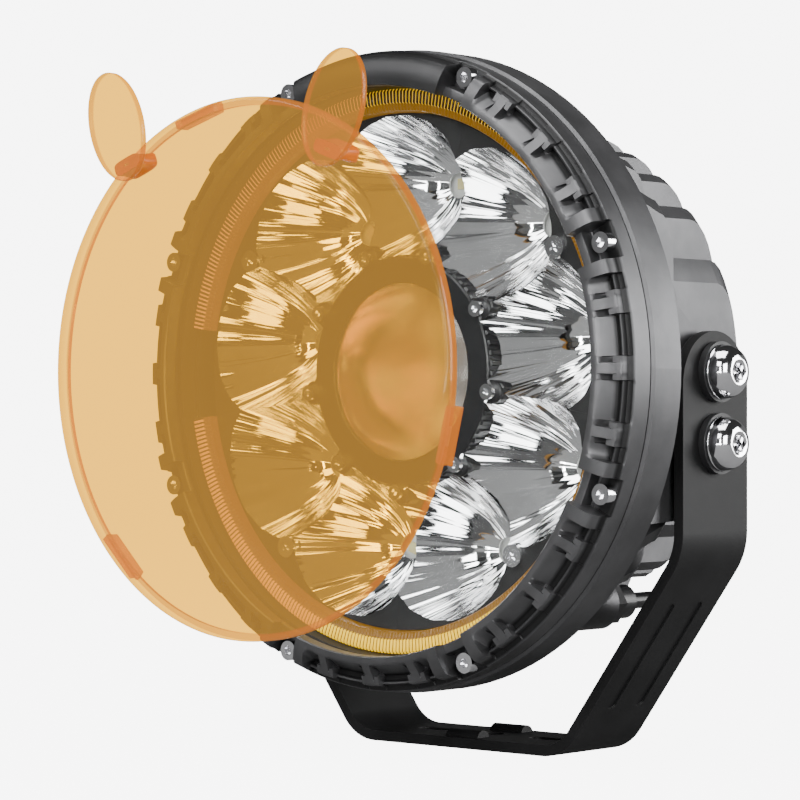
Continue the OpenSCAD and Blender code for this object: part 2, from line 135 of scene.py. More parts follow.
def revolve(profile, columns):
    # a profile of (radius, depth) carried once round the lamp's axis
    profile = np.array(profile, float)
    clocks = np.arange(columns) * 360 / columns
    return lampPoints(profile[None, :, 0], clocks[:, None], profile[None, :, 1])


class Value:
    # one socket of a material, which can be used in sums like a number
    def __init__(self, look, socket):
        self.look, self.socket = look, socket

    def calc(self, operation, *others, flip=False):
        order = [*others, self] if flip else [self, *others]
        return self.look.node("ShaderNodeMath", {"operation": operation}, dict(enumerate(order)))

    def __add__(self, other):
        return self.calc("ADD", other)

    def __sub__(self, other):
        return self.calc("SUBTRACT", other)

    def __rsub__(self, other):
        return self.calc("SUBTRACT", other, flip=True)

    def __mul__(self, other):
        return self.calc("MULTIPLY", other)

    __radd__, __rmul__ = __add__, __mul__

    def ramp(self, low, high):
        # 0 below low, 1 above high, smooth between
        return self.look.node("ShaderNodeMapRange", {"interpolation_type": "SMOOTHSTEP"},
                              {"Value": self, "From Min": low, "From Max": high}, "Result")


class Look:
    # a material and the few kinds of step it's made from
    def __init__(self, name, colour):
        self.material = bpy.data.materials.new(name)
        self.material.use_nodes = True
        self.material.diffuse_color = (*colour, 1)
        self.tree = self.material.node_tree
        self.tree.nodes.clear()
        self.place = self.node("ShaderNodeTexCoord", output="Object")

    def node(self, kind, settings=None, inputs=None, output=0):
        # adds a node: its settings are set first, then the values or links of its sockets
        made = self.tree.nodes.new(kind)
        for key, value in (settings or {}).items():
            setattr(made, key, value)
        for key, value in (inputs or {}).items():
            socket = made.inputs[key] if isinstance(key, int) else next(
                s for s in made.inputs if key in (s.identifier, s.name))
            if isinstance(value, Value):
                self.tree.links.new(value.socket, socket)
            else:
                socket.default_value = value
        if not made.outputs:
            return None
        found = made.outputs[output] if isinstance(output, int) else next(
            s for s in made.outputs if output in (s.identifier, s.name))
        return Value(self, found)

    def noise(self, scale, detail):
        return self.node("ShaderNodeTexNoise", None,
                         {"Vector": self.place, "Scale": scale, "Detail": detail, "Roughness": 0.55}, "Fac")

    def axes(self):
        split = self.node("ShaderNodeSeparateXYZ", None, {0: self.place})
        return [Value(self, socket) for socket in split.socket.node.outputs]

    def mix(self, share, first, second):
        return self.node("ShaderNodeMix", {"data_type": "RGBA"},
                         {"Factor_Float": share, "A_Color": first, "B_Color": second}, "Result_Color")

    def bump(self, height, distance, strength):
        return self.node("ShaderNodeBump", None,
                         {"Height": height, "Distance": distance, "Strength": strength}, "Normal")

    def principled(self, **inputs):
        named = {key.replace("_", " "): value for key, value in inputs.items()}
        return self.node("ShaderNodeBsdfPrincipled", None, named, "BSDF")

    def finish(self, shader):
        self.node("ShaderNodeOutputMaterial", None, {"Surface": shader})
        return self.material


def rgb(red, green=None, blue=None):
    # a grey from one number, or a colour from three
    return (red, red if green is None else green, red if blue is None else blue, 1.0)


def paintedMetal(name, dark, light, metal, gloss, grain, shine=0.5, shaded=False):
    # sprayed or cast metal: mottled colour and a fine orange-peel grain; where shaded, the hollows that
    # the piece marks get painted shade, a near-black colour standing in for shadow
    look = Look(name, (light,) * 3)
    cloud, fine = look.noise(45, 4), look.noise(grain, 2)
    colour = look.mix(cloud.ramp(0.3, 0.7), rgb(dark, dark, dark * 1.03), rgb(light, light, light * 1.03))
    if shaded:
        # painted shade: where the piece's mark is high, the colour turns near black in place of shadow
        mark = look.node("ShaderNodeAttribute", {"attribute_name": "mark"}, output="Fac")
        colour = look.mix(mark * 0.88, colour, rgb(dark * 0.12))
    rough = gloss + fine * 0.1 + cloud * 0.06
    return look.finish(look.principled(Base_Color=colour, Metallic=metal, Roughness=rough,
                                       Specular_IOR_Level=shine,
                                       Normal=look.bump(fine, 0.00006, 0.5)))


def bareMetal(name, tint, gloss, grain, smears):
    # plated metal: near-white reflection, clouded a little by smears, with a fine unevenness in its gloss
    look = Look(name, tint)
    cloud, fine = look.noise(smears, 3), look.noise(grain, 2)
    colour = look.mix(cloud.ramp(0.35, 0.75), rgb(*tint), rgb(*[c * 0.9 for c in tint]))
    return look.finish(look.principled(Base_Color=colour, Metallic=1.0, Roughness=gloss + fine * 0.05,
                                       Normal=look.bump(fine, 0.00001, 0.4)))


def plastic(name, tint, gloss, grain):
    # moulded plastic or rubber: even colour with a little cloud, spark-eroded grain
    look = Look(name, tint)
    cloud, fine = look.noise(60, 3), look.noise(grain, 3)
    colour = look.mix(cloud.ramp(0.3, 0.7), rgb(*tint), rgb(*[c * 0.8 for c in tint]))
    return look.finish(look.principled(Base_Color=colour, Roughness=gloss + fine * 0.08,
                                       Normal=look.bump(fine, 0.00004, 0.5)))


def glance(look, normal):
    # reflection of clear plastic: 0.04 + 0.96 facing^5, the same from either side of the sheet
    facing = look.node("ShaderNodeLayerWeight", None, {"Blend": 0.5, "Normal": normal}, "Facing")
    return facing.calc("POWER", 5.0) * 0.96 + 0.04


def clearSheet(name, tint, gloss, strongest, wave):
    # a see-through sheet: tinted transparency, with a reflection that grows at a glancing angle
    look = Look(name, tint)
    bent = look.bump(look.noise(wave, 2), 0.00002, 0.3)
    edge = glance(look, bent)
    through = look.node("ShaderNodeBsdfTransparent", None, {"Color": rgb(*tint)})
    shine = look.node("ShaderNodeBsdfGlossy", None,
                      {"Color": rgb(0.9), "Roughness": gloss, "Normal": bent})
    return look.finish(look.node("ShaderNodeMixShader", None,
                                 {0: edge * strongest, 1: through, 2: shine}))


def glass(name, tint):
    # ground and polished glass, with a faint unevenness in its gloss
    look = Look(name, tint)
    fine = look.noise(300, 2)
    return look.finish(look.principled(Base_Color=rgb(*tint), Roughness=0.22 + fine * 0.04,
                                       Transmission_Weight=1.0, IOR=1.5))


def guideLook(name):
    # moulded light guide: painted highlight bars on a dark amber ground, with a plain band along its inner
    # edge
    look = Look(name, (0.95, 0.6, 0.1))
    x, y, z = look.axes()
    height = z - axisHeight * mm
    clock = look.node("ShaderNodeMath", {"operation": "ARCTAN2"}, {0: x, 1: height})
    radius = look.node("ShaderNodeMath", {"operation": "SQRT"}, {0: x * x + height * height}) * 1000
    perTurn = guideSize["flutes"] * 360 / guideSize["sweep"]
    # painted highlight: bright and dark bars along the flutes, standing in for light through the clear
    # plastic
    paintedBars = (clock * perTurn).calc("SINE") * 0.5 + 0.5
    plain = 1 - radius.ramp(guideSize["split"] - 0.3, guideSize["split"] + 0.3)
    amber = look.mix(paintedBars.ramp(0.35, 0.65), rgb(0.012, 0.004, 0.0), rgb(0.5, 0.29, 0.002))
    colour = look.mix(plain, amber, rgb(0.09, 0.04, 0.002))
    # painted glow: the whole colour, bars and band, is also given out as emission
    return look.finish(look.principled(Base_Color=colour, Roughness=0.28 + look.noise(900, 2) * 0.08,
                                       Emission_Color=colour, Emission_Strength=2.2,
                                       Specular_IOR_Level=0.25))


def amberLook(name):
    # tinted clear plastic: amber where it's seen through, under a painted amber glow; a stronger orange with
    # a painted glow at its moulded edges
    look = Look(name, (0.95, 0.55, 0.15))
    bent = look.bump(look.noise(35, 2), 0.00003, 0.3)
    edge = glance(look, bent)
    mark = look.node("ShaderNodeAttribute", {"attribute_name": "mark"}, output="Fac")
    through = look.node("ShaderNodeBsdfTransparent", None, {"Color": rgb(0.97, 0.68, 0.12)})
    shine = look.node("ShaderNodeBsdfGlossy", None,
                      {"Color": rgb(1.0, 0.93, 0.88), "Roughness": 0.05, "Normal": bent})
    # a solid deeper orange, partly the plastic's own colour where it is thick, with a painted glow from its
    # emission
    solidOrangeGlow = look.principled(Specular_IOR_Level=0.2, Base_Color=rgb(0.35, 0.06, 0.0),
                            Roughness=0.2 + look.noise(700, 2) * 0.1,
                            Emission_Color=rgb(0.62, 0.12, 0.0), Emission_Strength=0.4)
    # painted glow: an amber emission mixed into the tint, standing in for light scattered in the plastic
    paintedHazeGlow = look.node("ShaderNodeEmission", None, {"Color": rgb(1.0, 0.56, 0.14), "Strength": 1.15})
    tinted = look.node("ShaderNodeMixShader", None, {0: 0.2, 1: through, 2: paintedHazeGlow})
    clear = look.node("ShaderNodeMixShader", None, {0: edge * 0.3, 1: tinted, 2: shine})
    return look.finish(look.node("ShaderNodeMixShader", None, {0: mark, 1: clear, 2: solidOrangeGlow}))


guideSize = {"inner": 90.6, "split": 93.3, "outer": 98.2, "front": 7.5, "back": 20.0,
             "sweep": 160.0, "flutes": 176, "flute": 0.55}

looks = {
    "bracket_paint": paintedMetal("bracketPaint", 0.005, 0.009, 0.0, 0.42, 2600, 0.22),
    "housing_alloy": paintedMetal("housingAlloy", 0.08, 0.115, 0.85, 0.36, 3200),
    "bezel_alloy": paintedMetal("bezelAlloy", 0.085, 0.12, 0.85, 0.34, 3600, shaded=True),
    "deck": paintedMetal("deckSatin", 0.03, 0.045, 0.5, 0.3, 3000),
    "bright_steel": bareMetal("brightSteel", (0.85, 0.85, 0.87), 0.1, 2200, 240),
    "chrome_bolt": bareMetal("chromeBolt", (0.86, 0.86, 0.88), 0.06, 1800, 160),
    "mirror_chrome": bareMetal("mirrorChrome", (0.93, 0.93, 0.94), 0.025, 900, 60),
    "black_plastic": plastic("blackPlastic", (0.012, 0.012, 0.013), 0.3, 2400),
    "black_washer": plastic("blackWasher", (0.014, 0.014, 0.015), 0.45, 2000),
    "silicone": plastic("silicone", (0.018, 0.018, 0.019), 0.6, 1600),
    "silicone_grey": plastic("siliconeGrey", (0.3, 0.32, 0.35), 0.65, 1600),
    "white_board": plastic("whiteBoard", (0.75, 0.76, 0.74), 0.4, 1500),
    "circuit_board": plastic("circuitBoard", (0.02, 0.13, 0.06), 0.35, 1500),
    "led_phosphor": plastic("ledPhosphor", (0.7, 0.62, 0.3), 0.35, 2000),
    "wire_red": plastic("wireRed", (0.5, 0.015, 0.015), 0.4, 2000),
    "clear_lens": clearSheet("clearLens", (0.985, 0.99, 0.985), 0.02, 0.3, 20),
    "projector_glass": glass("projectorGlass", (0.93, 0.96, 0.96)),
    "amber_guide": guideLook("amberGuide"),
    "amber_plastic": amberLook("amberPlastic"),
}

for row in frame["record"]["subparts"]:
    mesh = frame["nodes"][row["node"]].data
    mesh.materials.clear()
    mesh.materials.append(looks[row["material_slot"]])
print("materials ready", len(looks))


bracketSize = {"edge": 0.45, "corner": 30, "sharp": 28}


def makeBracket():
    # the CAD shape with its flat faces joined up again, then each edge sharper than the corner angle
    # rounded off
    work = bmesh.new()
    work.from_mesh(frame["nodes"]["bracket"].data)
    bmesh.ops.remove_doubles(work, verts=work.verts, dist=2e-6)
    bmesh.ops.dissolve_limit(work, angle_limit=np.radians(1.5), verts=work.verts, edges=work.edges)
    limit = np.radians(bracketSize["corner"])
    edges = [e for e in work.edges if len(e.link_faces) == 2 and e.calc_face_angle(0) > limit]
    bmesh.ops.bevel(work, geom=edges, offset=bracketSize["edge"] * mm, segments=2, profile=0.5,
                    affect="EDGES", clamp_overlap=True)
    bmesh.ops.triangulate(work, faces=work.faces)
    mesh = bpy.data.meshes.new("bracket_softened")
    work.to_mesh(mesh)
    work.free()
    tidyMesh(mesh, bracketSize["sharp"])
    mesh.materials.append(looks["bracket_paint"])
    piece = bpy.data.objects.new("bracket_softened", mesh)
    bpy.context.scene.collection.objects.link(piece)
    even = piece.modifiers.new("even", "WEIGHTED_NORMAL")
    even.keep_sharp = True
    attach(piece, "bracket")
    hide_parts("bracket")


makeBracket()
print("bracket done")


# Each outline runs from the glass seat round the rim and down to the outer edge, as (radius, depth).
# The channel, a rib, a rib's block, an end flange and a screw pocket have matching points, so one
# shape turns into the next across a narrow bevel.

bezelSize = {"sections": 8, "step": 0.6, "bevel": 0.16, "ribs": (-11.5, 0.0, 11.5),
             "ribHalf": 0.95, "blockHalf": 2.05, "flange": 16.3, "pocket": 19.0, "corner": 2.0,
             "cornerRise": 1.6, "plainShade": 0.75}
bezelShapes = {
    "channel": [(98.5, -4.5), (98.9, -5), (100.6, -5), (101.0, -4.8), (101.5, -4.2), (102.2, -3.2),
                (103.2, -1.6), (104.2, 0.0), (104.9, 1.2), (105.3, 1.6), (105.8, 1.7), (106.8, 1.6),
                (107.2, 1.0), (107.5, 0.4), (108.0, 0.3), (108.3, 0.8), (108.7, 2.1), (109.4, 2.5),
                (110.4, 2.6), (111, 3.2)],
    "rib": [(98.5, -4.5), (98.9, -5), (100.6, -5), (101.3, -4.8), (102.0, -4.4), (102.8, -4.0),
            (103.6, -3.5), (104.4, -3.0), (105.2, -2.6), (106.0, -2.3), (106.8, -2.0), (107.4, -1.8),
            (107.9, -1.6), (108.4, -1.4), (108.7, -1.1), (108.9, -0.4), (109.1, 1.5), (109.6, 2.0),
            (110.4, 2.4), (111, 3.1)],
    "block": [(98.5, -4.5), (98.9, -5), (100.6, -5), (101.2, -4.8), (101.7, -4.2), (102.0, -3.2),
              (102.4, -1.6), (102.9, -0.2), (103.6, 0.7), (104.4, 0.9), (105.0, 0.2), (105.2, -1.0),
              (105.6, -2.1), (106.6, -1.9), (108.4, -1.4), (108.8, -0.4), (109.1, 1.5), (109.6, 2.0),
              (110.4, 2.4), (111, 3.1)],
    "flange": [(98.5, -4.5), (98.9, -5), (100.6, -5), (101.8, -4.95), (103.0, -4.8), (104.2, -4.6),
               (105.2, -4.3), (106.2, -4.0), (107.0, -3.7), (107.8, -3.3), (108.4, -2.9), (108.8, -2.4),
               (109.1, -1.6), (109.3, -0.8), (109.5, 0.0), (109.6, 0.7), (109.8, 1.5), (110.0, 2.0),
               (110.5, 2.5), (111, 3.1)],
    "pocket": [(98.5, -0.6), (98.9, -1.0), (101.2, -1.0), (101.8, -0.8), (102.0, 0.0), (102.1, 1.4),
               (102.2, 2.8), (102.4, 3.6), (102.8, 4.0), (104, 4.0), (106, 4.0), (107.5, 4.0),
               (108.5, 4.0), (109.2, 4.0), (109.7, 4.05), (110.0, 4.1), (110.3, 4.2), (110.5, 4.3),
               (110.7, 4.5), (111, 5.0)],
}


def makeBezel():
    # outline(c) = channel, then rib, block, flange and pocket shapes blended in by windows in clock angle;
    # near a flange the channel's inner wall moves outwards by k (1 - sqrt(1 - (1 - gap)^2)), where gap
    # goes from 0 at the flange to 1 a corner's length away
    shapes = {key: np.array(value) for key, value in bezelShapes.items()}
    size = bezelSize
    pitch, bevel = 360 / size["sections"], size["bevel"]
    edges = [-pitch / 2, pitch / 2]
    for side in (-1, 1):
        for edge in (size["flange"], size["pocket"]):
            edges += [side * edge, side * (edge + bevel), side * (edge - size["corner"])]
        for rib in size["ribs"]:
            for half in (size["ribHalf"], size["blockHalf"]):
                edges += [rib + side * half, rib + side * (half + bevel)]
    local = between(edges, size["step"])[:-1]
    columns, clocks = [], []
    for section in range(size["sections"]):
        outline = np.repeat(shapes["channel"][None], len(local), 0)
        gap = np.clip(size["flange"] - np.abs(local), 0, size["corner"]) / size["corner"]
        shift = size["cornerRise"] * (1 - np.sqrt(1 - (1 - gap) ** 2))
        outline[:, 3:9, 0] += shift[:, None]
        outline[:, 9:11, 0] += 0.65 * shift[:, None]
        for shape, half in (("block", size["blockHalf"]), ("rib", size["ribHalf"])):
            for rib in size["ribs"]:
                share = window(local, rib, half, bevel)[:, None, None]
                outline = blend(outline, shapes[shape][None], share)
        flange = 1 - window(local, 0, size["flange"], bevel)
        if section == 0:
            flange = np.ones_like(local)
        outline = blend(outline, shapes["flange"][None], flange[:, None, None])
        pocket = 1 - window(local, 0, size["pocket"], bevel)
        outline = blend(outline, shapes["pocket"][None], pocket[:, None, None])
        columns.append(outline)
        clocks.append(section * pitch + local)
    columns, clocks = np.concatenate(columns), np.concatenate(clocks)
    back = np.array([(111, 10.9), (110.5, 11.5), (101.2, 11.5), (101.2, 0.8), (98.9, 0.8), (98.5, 0.4)])
    columns = np.concatenate([columns, np.repeat(back[None], len(clocks), 0)], 1)
    grid = lampPoints(columns[..., 0], clocks[:, None], columns[..., 1])
    # painted shade: the channel floor, the pocket floors and the plain top section are darkened through the
    # mark
    paintedShade = np.clip((columns[..., 1] - 0.2) / 0.8, 0, 1) * window(columns[..., 0], 107.8, 2.9, 0.3)
    plain = window((clocks + 180) % 360 - 180, 0, size["pocket"], bevel)[:, None]
    paintedShade = np.maximum(paintedShade, size["plainShade"] * plain)
    return makePiece("bezelShell", [(grid, True, True)], looks["bezel_alloy"], "lamp",
                     ["bezel"], sharp=28, marks=paintedShade.ravel())


makeBezel()
print("bezel done")


cupSize = {"count": 9, "circle": 67.5, "outward": 22.0, "inward": 31.0, "sideways": 27.0, "depth": 34.0,
           "deck": 12.6, "deckWall": 1.3, "wall": 0.9, "flutes": 16, "flute": 0.016, "hole": 0.17,
           "hub": 40.6, "rim": 90.2, "steps": 220, "rings": 20}


def cupRays():
    # for each direction p round a cup: how far a ray goes to the neighbour's plane, the hub and the rim,
    # in units where the mouth is at 1. Directions are a = A cos p outwards and b = B sin p sideways.
    size = cupSize
    angle = np.radians(np.arange(size["steps"]) * 360 / size["steps"])
    reach = np.where(np.cos(angle) > 0, size["outward"], size["inward"])
    a, b = reach * np.cos(angle), size["sideways"] * np.sin(angle)
    slope = np.tan(np.pi / size["count"])
    fall = np.abs(b) - a * slope
    plane = np.where(fall > 1e-6, (size["circle"] * slope - 0.02) / np.maximum(fall, 1e-6), 9.0)
    square, half = a * a + b * b, size["circle"] * a

    def ring(radius, sign):
        inside = half ** 2 - square * (size["circle"] ** 2 - radius ** 2)
        return (-half + sign * np.sqrt(np.maximum(inside, 0))) / square, inside > 0

    hub, meets = ring(size["hub"], -1)
    hub = np.where(meets & (hub > 0), hub, 9.0)
    rim = ring(size["rim"], 1)[0]
    flute = 1 + size["flute"] * (np.abs(np.sin(angle * size["flutes"] / 2)) - 0.5)
    return angle, a, b, np.minimum(plane, hub), rim, flute


def cupPoints(number, a, b, share, depth):
    # a ray's point share * (a, b) from the cup's centre, turned to the cup's place round the lamp
    out, side = cupSize["circle"] + share * a, share * b
    clock = number * 360 / cupSize["count"] + np.degrees(np.arctan2(side, out))
    return lampPoints(np.hypot(out, side), clock, depth)


def makeReflector():
    # depth = deck + D (1 - (s / flute)^2), where s is the share of the way to the mouth; the deck fills
    # what is left between the mouths and the rim
    size = cupSize
    angle, a, b, limit, rim, flute = cupRays()
    mouth = np.minimum(limit, flute)
    rings = np.linspace(0, 1, size["rings"])[:, None] ** 0.8
    share = size["hole"] + (mouth[None] - size["hole"]) * rings
    depth = size["deck"] + size["depth"] * (1 - (share / flute[None]) ** 2)
    share = np.concatenate([share, share[::-1]])
    depth = np.concatenate([depth, depth[::-1] + size["wall"]])
    cups = [(cupPoints(k, a, b, share, depth), True, True) for k in range(size["count"])]
    makePiece("reflectorCups", cups, looks["mirror_chrome"], "lamp",
              ["reflector"], sharp=50)
    outer = np.minimum(rim, limit)
    order = np.argsort(np.where(angle > np.pi, angle - 2 * np.pi, angle))
    bare = order[(outer[order] > mouth[order] + 0.004) & (a[order] > -6)]
    levels = np.array([0, 0.5, 1, 1, 0.5, 0])[:, None]
    start = mouth[bare] * 1.002
    share = start + (outer[bare] - start) * levels
    depth = size["deck"] + np.array([0, 0, 0, 1, 1, 1])[:, None] * size["deckWall"]
    depth = np.broadcast_to(depth, share.shape)
    deck = [(cupPoints(k, a[bare], b[bare], share, depth), True, False) for k in range(size["count"])]
    makePiece("reflectorDeck", deck, looks["deck"], "lamp", [], sharp=30)


makeReflector()
print("reflector done")


hubSize = {"bore": 31.0, "outer": 40.2, "ear": 4.2, "earCircle": 42.1, "earPitch": 40, "front": 13.6,
           "back": 21.0, "ribs": 72, "rib": 0.7, "columns": 1440, "neck": 36.5, "barrel": 35.5,
           "barrelBore": 32.9, "barrelEnd": 47.8}


def makeHub():
    # outer radius: the ring, or an ear's circle where it reaches further,
    # r = e cos d + sqrt(k^2 - (e sin d)^2) with d the angle from the ear's centre; behind it the barrel
    size = hubSize
    clock = np.arange(size["columns"]) * 360 / size["columns"]
    off = np.radians(clock % size["earPitch"] - size["earPitch"] / 2)
    under = size["ear"] ** 2 - (size["earCircle"] * np.sin(off)) ** 2
    ear = size["earCircle"] * np.cos(off) + np.sqrt(np.maximum(under, 0))
    outer = np.where(under > 0, np.maximum(ear, size["outer"]), size["outer"])
    tooth = np.clip(np.sin(np.radians(clock) * size["ribs"]) * 2.5 + 0.5, 0, 1) * size["rib"]
    front, back, bore = size["front"], size["back"], size["bore"]
    step, end = size["outer"] - 0.2, size["barrelEnd"]
    rows = [(bore, front + 1.4), (bore, front + 0.3), (bore + 0.4, front), (bore + 4, front),
            (outer - 0.5, front), (outer, front + 0.5), (outer, front + 1.1), (outer + tooth, front + 1.5),
            (outer + tooth, back - 0.8), (outer, back - 0.3), (step, back), (step, back + 2.5),
            (size["neck"], back + 3), (size["barrel"], back + 4), (size["barrel"], end),
            (size["barrelBore"], end), (size["barrelBore"], front + 1.4)]
    radius = np.stack([row[0] + 0 * outer for row in rows], 1)
    depth = np.array([row[1] for row in rows])[None, :]
    grid = lampPoints(radius, clock[:, None], depth)
    makePiece("hubRing", [(grid, True, True)], looks["black_plastic"], "lamp",
              ["hub_ring", "projector_barrel"], sharp=30)


lensSize = {"edge": 30.9, "flange": 32.5, "rise": 9.4, "seat": 15.1, "back": 21.0}


def makeProjectorLens():
    # a dome on a thin flange: depth = seat - rise + R - sqrt(R^2 - r^2), with the bowl's radius
    # R = (edge^2 + rise^2) / (2 rise)
    size = lensSize
    radius = size["edge"] * np.sin(np.linspace(0, np.pi / 2, 40))
    bowl = (size["edge"] ** 2 + size["rise"] ** 2) / (2 * size["rise"])
    depth = size["seat"] - size["rise"] + bowl - np.sqrt(bowl ** 2 - radius ** 2)
    flange, seat, back = size["flange"], size["seat"], size["back"]
    profile = [*zip(radius, depth), (flange - 0.2, seat), (flange, seat + 0.3), (flange, back - 0.2),
               (flange - 0.3, back), (0, back)]
    makePiece("projectorLens", [(revolve(profile, 180), True, False)], looks["projector_glass"], "lamp",
              ["projector_lens"], sharp=40)


def makeGuide(name, middle, node):
    # front depth = f + h (1 - |sin(pi n t)|), n flutes along the arc; the inner band is half as deep
    size = guideSize
    steps = size["flutes"] * 6
    share = np.linspace(0, 1, steps + 1)
    clock = middle + (share - 0.5) * size["sweep"]
    flute = size["flute"] * (1 - np.abs(np.sin(np.pi * size["flutes"] * share)))
    front, back, inner, split, outer = (size[key] for key in ("front", "back", "inner", "split", "outer"))
    # each row: radius, depth, how much of the flute's depth it takes
    rows = np.array([(inner, back, 0), (inner, front + 2.2, 0), (inner + 0.3, front + 1.6, 0.5),
                     (split - 0.3, front + 1.1, 0.5), (split, front + 0.9, 0.3),
                     (split + 0.3, front + 0.3, 1), (outer - 0.8, front, 1),
                     (outer, front + 0.8, 0.4), (outer, back, 0)])
    radius = rows[:, 0]
    depth = rows[:, 1] + rows[:, 2] * flute[:, None]
    grid = lampPoints(radius, clock[:, None], depth)
    closing = np.full(len(rows), (inner + outer) / 2), np.full(len(rows), front + 6.5)
    ends = [lampPoints(np.stack([radius, closing[0]]), clock[k], np.stack([depth[k], closing[1]]))
            for k in (0, -1)]
    sheets = [(grid, False, True)] + [(end, False, True) for end in ends]
    makePiece(name, sheets, looks["amber_guide"], "lamp", [node], sharp=40)


makeHub()
makeProjectorLens()
makeGuide("lightGuideUpper", 0, "light_guide_upper")
makeGuide("lightGuideLower", 180, "light_guide_lower")
print("projector and light guides done")


coverSize = {"radius": 90.0, "face": -66.0, "wall": 2.6, "rim": 5.0, "round": 1.6,
             "clips": (104, 224, 344), "clipSweep": 12.0,
             "earWidth": 24.0, "earHeight": 38.6, "earLead": 10.0, "earLean": 20.0,
             "earSide": 50.0, "earRise": 82.5,
             "stemSide": 46.2, "stemRise": 69.5, "stemWidth": 6.0, "stemHeight": 2.4}
# the marks set where the solid orange with its painted glow takes over from the clear amber
coverMarks = {"lip": [0, 0.05, 0.15, 0.25, 0], "rimEdge": [0.5, 0.5, 0.05, 0, 0],
              "clip": 0.4, "earEdge": 0.5, "stem": 0.75}   # how solid the orange is, from 0 to 1


def coverPoints(side, rise, depth):
    # x sideways and z upwards from the lamp's axis
    side, rise, depth = np.broadcast_arrays(side, rise, depth)
    return mm * np.stack([side, frontPlane + depth, axisHeight + rise], -1)


def makeCover():
    # the dish is a revolved profile; an ear's plate is rings of an oval, (w/2) k cos p and (h/2) k sin p,
    # each ring with its own share k and depth; the stem below it is a bar that widens to its foot, its
    # corners (sign(cos p) sqrt|cos p|, sign(sin p) sqrt|sin p|)
    size = coverSize
    radius, face, wall = size["radius"], size["face"], size["wall"]
    turn = np.radians(np.linspace(-90, 0, 7))
    bend = size["round"]
    lip = [(radius - bend + bend * np.cos(t), face + bend + bend * np.sin(t)) for t in turn]
    profile = [(0, face), (30, face), (60, face), (80, face), *lip, (radius, face + size["rim"] - 0.3),
               (radius - 0.3, face + size["rim"]), (radius - wall + 0.3, face + size["rim"]),
               (radius - wall, face + size["rim"] - 0.3), (radius - wall, face + wall + 0.8),
               (radius - wall - 0.8, face + wall), (60, face + wall), (30, face + wall), (0, face + wall)]
    dish = revolve(profile, 256)
    # the lip and the rim's edge get the solid orange with its painted glow
    rowGlow = np.zeros(len(profile))
    rowGlow[7:17] = coverMarks["lip"] + coverMarks["rimEdge"]
    sheets, marks = [(dish, True, False)], [np.broadcast_to(rowGlow, dish.shape[:2])]
    for clip in size["clips"]:
        tab = [(radius - wall + 0.3, face + 3), (radius + 0.4, face + 3), (radius + 0.4, face + 6.2),
               (radius + 1.3, face + 6.4), (radius + 1.3, face + 7.4), (radius + 0.4, face + 8),
               (radius - wall + 0.3, face + 8)]
        shrink = np.array([0.2, 0.96, 1, 1, 0.96, 0.2])
        spread = np.array([-1, -1, -0.97, 0.97, 1, 1]) * size["clipSweep"] / 2
        centre = np.mean(tab, 0)
        points = np.array(tab)[None] * shrink[:, None, None] + centre * (1 - shrink[:, None, None])
        grid = lampPoints(points[..., 0], clip + spread[:, None], points[..., 1])
        sheets.append((grid, False, True))
        marks.append(np.full(grid.shape[:2], coverMarks["clip"]))
    lap = np.radians(np.arange(96) * 3.75)
    shares = np.array([0.0, 0.5, 0.88, 0.955, 0.985, 1.0, 1.0, 0.985, 0.955, 0.88, 0.5, 0.0])
    depths = np.array([0.25, 0.25, 0.25, 0.0, 0.1, 0.6, 2.4, 2.9, 3.0, 2.75, 2.75, 2.75])
    lead, lean = face - size["earLead"], np.radians(size["earLean"])
    corner = np.radians(np.arange(24) * 15.0)
    run = np.array([2.4, 2.4, 6.0, 10.4, 10.4])[:, None]

    def leaning(a, b):
        return a * np.cos(lean) + b * np.sin(lean), b * np.cos(lean) - a * np.sin(lean)

    def squared(wave):
        return np.sign(wave) * np.abs(wave) ** 0.5

    for side in (-1, 1):
        a = shares[:, None] * size["earWidth"] / 2 * np.cos(lap)
        b = shares[:, None] * size["earHeight"] / 2 * np.sin(lap)
        out, rise = leaning(a, b)
        ear = coverPoints(side * (size["earSide"] + out), size["earRise"] + rise, lead + depths[:, None])
        sheets.append((ear, False, True))
        edge = np.where((depths > 0.3) & (depths < 2.7), coverMarks["earEdge"], 0)
        marks.append(np.broadcast_to(edge[:, None], ear.shape[:2]))
        width = np.array([0.2, 1, 1, 1.12, 0.2])[:, None] * size["stemWidth"]
        height = np.array([0.2, 1, 1, 1.2, 0.2])[:, None] * size["stemHeight"]
        out, rise = leaning(squared(np.cos(corner)) * width, squared(np.sin(corner)) * height)
        stem = coverPoints(side * (size["stemSide"] + out), size["stemRise"] + rise, lead + run)
        sheets.append((stem, False, True))
        marks.append(np.full(stem.shape[:2], coverMarks["stem"]))
    cover = makePiece("amberCover", sheets, looks["amber_plastic"], "cover", ["amber_cover"],
                      sharp=45, marks=np.concatenate([mark.ravel() for mark in marks]))
    # the cover casts no amber light on the lamp
    cover.visible_shadow = cover.visible_glossy = cover.visible_diffuse = False


makeCover()
print("cover done")


boltSize = {"head": 9.3, "height": 7.4, "flat": 4.2, "lip": 0.8, "shank": 4.0,
            "socket": 3.3, "socketDepth": 4.0}


